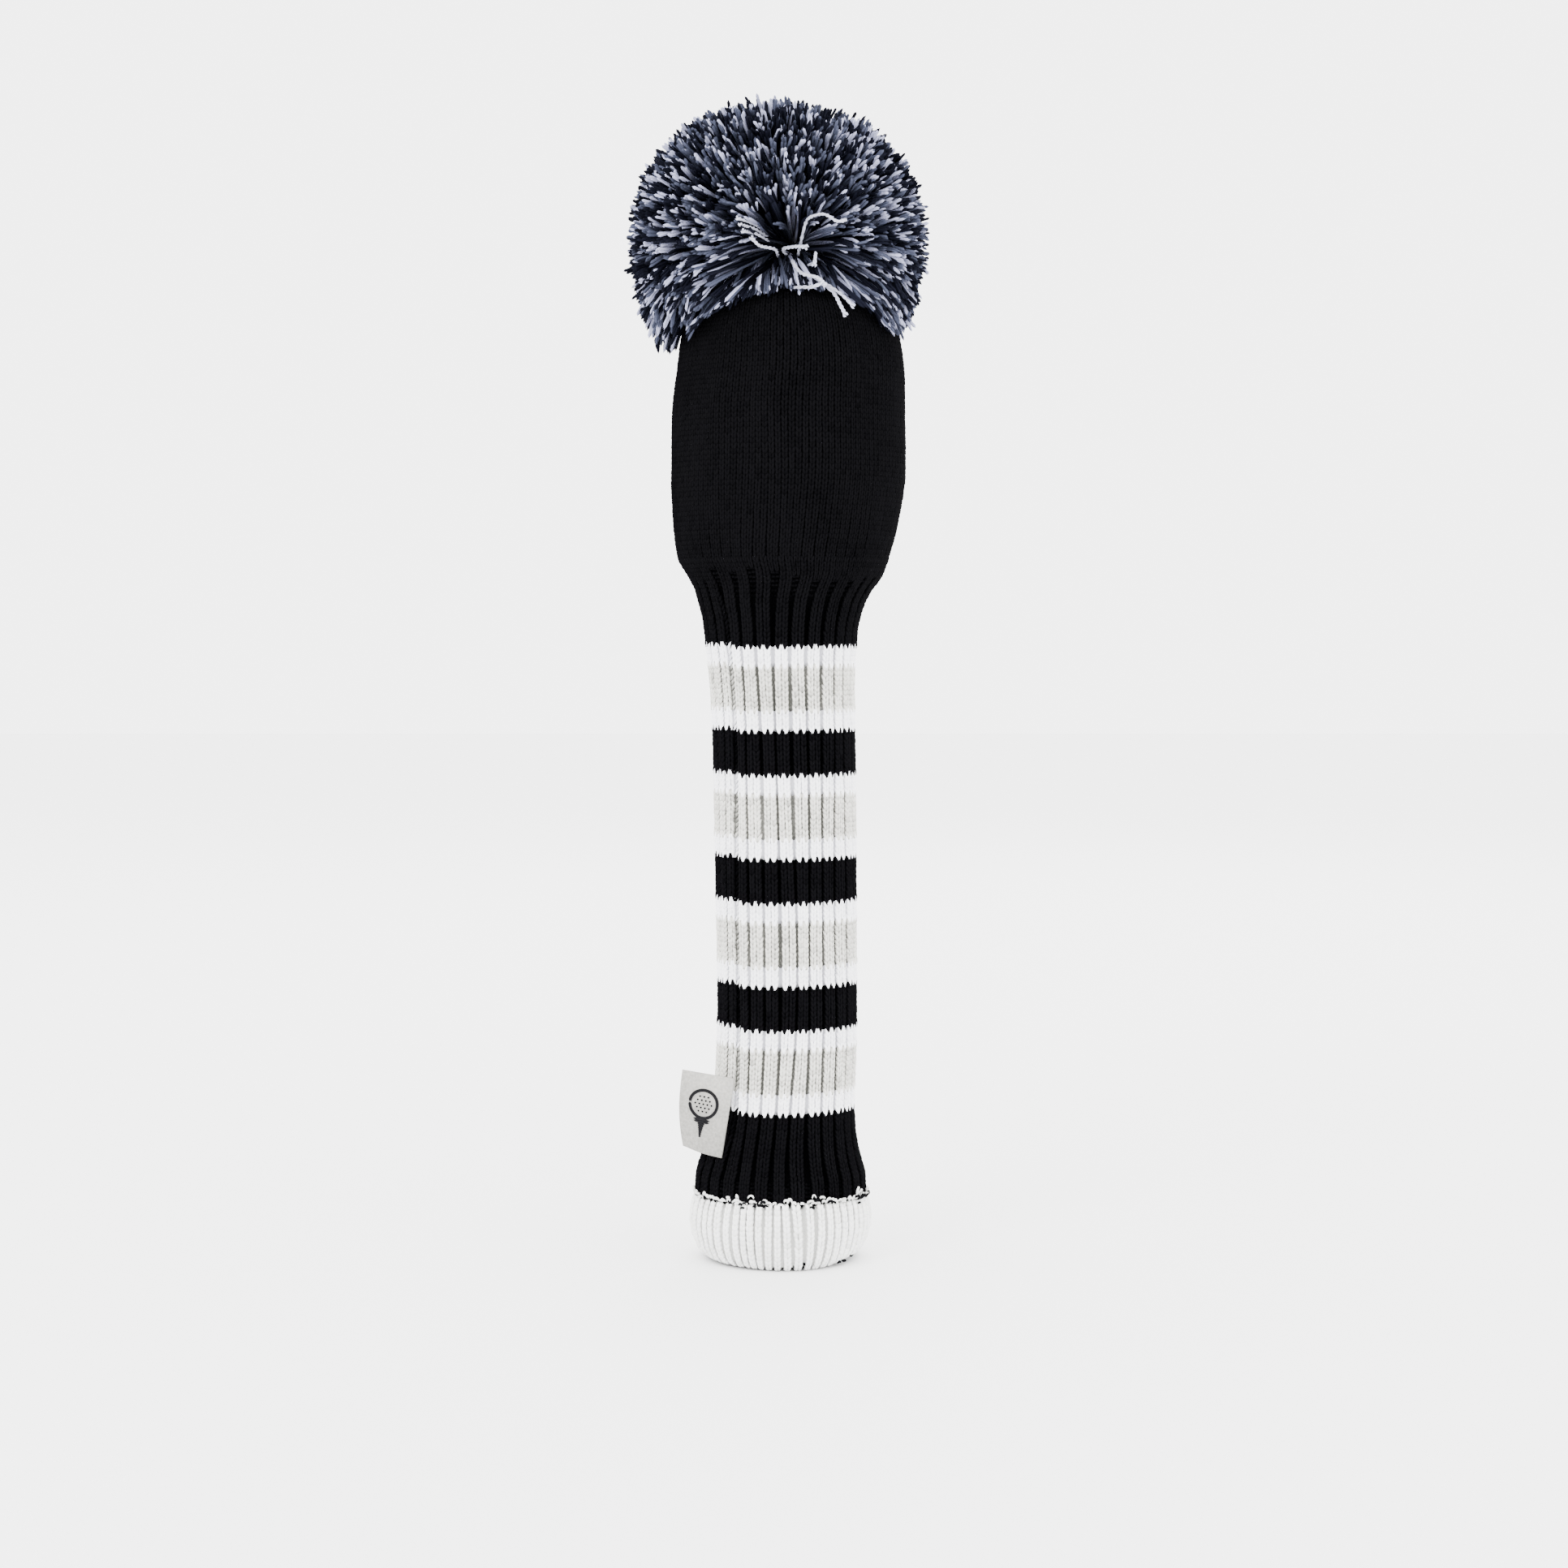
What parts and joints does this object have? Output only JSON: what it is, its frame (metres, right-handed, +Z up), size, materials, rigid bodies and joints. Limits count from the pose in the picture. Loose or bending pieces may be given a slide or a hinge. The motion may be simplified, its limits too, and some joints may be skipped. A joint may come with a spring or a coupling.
{
  "type": "knitted golf driver head cover",
  "caption": "Knitted golf driver head cover: a round black pocket with a large yarn pom-pom, a long ribbed striped neck, a turned white cuff and a woven label in the side seam.",
  "frame": {"origin": "centre of the cover's mouth, in the plane of the cuff's fold, where the golf club enters", "axes": "+Z up the neck to the pom-pom, which is the way the club goes in; -Y towards the viewer (the front); +X to the viewer's right. The label is at the viewer's left."},
  "size_m": [0.106, 0.106, 0.4127],
  "materials": {
    "white_knit": "matte",
    "grey_knit": "matte",
    "black_knit": "matte",
    "cuff_knit": "matte",
    "black_thread": "matte",
    "lining_fleece": "matte",
    "elastic": "matte",
    "pom_yarn": "matte",
    "tie_yarn": "matte",
    "button_plastic": "gloss",
    "label_cloth": "matte"
  },
  "bodies": {
    "cover": {"head_pocket": "black_knit", "throat_rib": "black_knit", "white_stripe_1": "white_knit", "white_stripe_2": "white_knit", "white_stripe_3": "white_knit", "white_stripe_4": "white_knit", "white_stripe_5": "white_knit", "white_stripe_6": "white_knit", "white_stripe_7": "white_knit", "white_stripe_8": "white_knit", "grey_stripe_1": "grey_knit", "grey_stripe_2": "grey_knit", "grey_stripe_3": "grey_knit", "grey_stripe_4": "grey_knit", "black_stripe_1": "black_knit", "black_stripe_2": "black_knit", "black_stripe_3": "black_knit", "hem_rib": "black_knit", "cuff": "cuff_knit", "cuff_linking_thread": "black_thread", "side_seam_thread": "black_thread", "crown_gather_thread": "black_thread", "pocket_lining": "lining_fleece", "neck_lining": "lining_fleece", "throat_elastic": "elastic"},
    "pom_tie": {"pom_tie_cord": "tie_yarn", "anchor_button": "button_plastic"},
    "pom": {"pom_pom": "pom_yarn", "pom_binding": "tie_yarn"},
    "label": {"side_label": "label_cloth"}
  },
  "joints": [
    {"name": "pom_twist", "type": "hinge", "parent": "cover", "child": "pom_tie", "pos_m": [0, 0, 0.3568], "axis": [0, 0, 1], "range_deg": [-60, 60], "stiffness_Nm_per_rad": 0.02},
    {"name": "pom_tilt", "type": "hinge", "parent": "pom_tie", "child": "pom", "pos_m": [0, 0, 0.3568], "axis": [1, 0, 0], "range_deg": [-10, 10], "stiffness_Nm_per_rad": 0.3},
    {"name": "label_flap", "type": "hinge", "parent": "cover", "child": "label", "pos_m": [-0.0232, -0.0189, 0.0386], "axis": [0.1616, 0, 0.9869], "range_deg": [-30, 115], "stiffness_Nm_per_rad": 0.002}
  ]
}
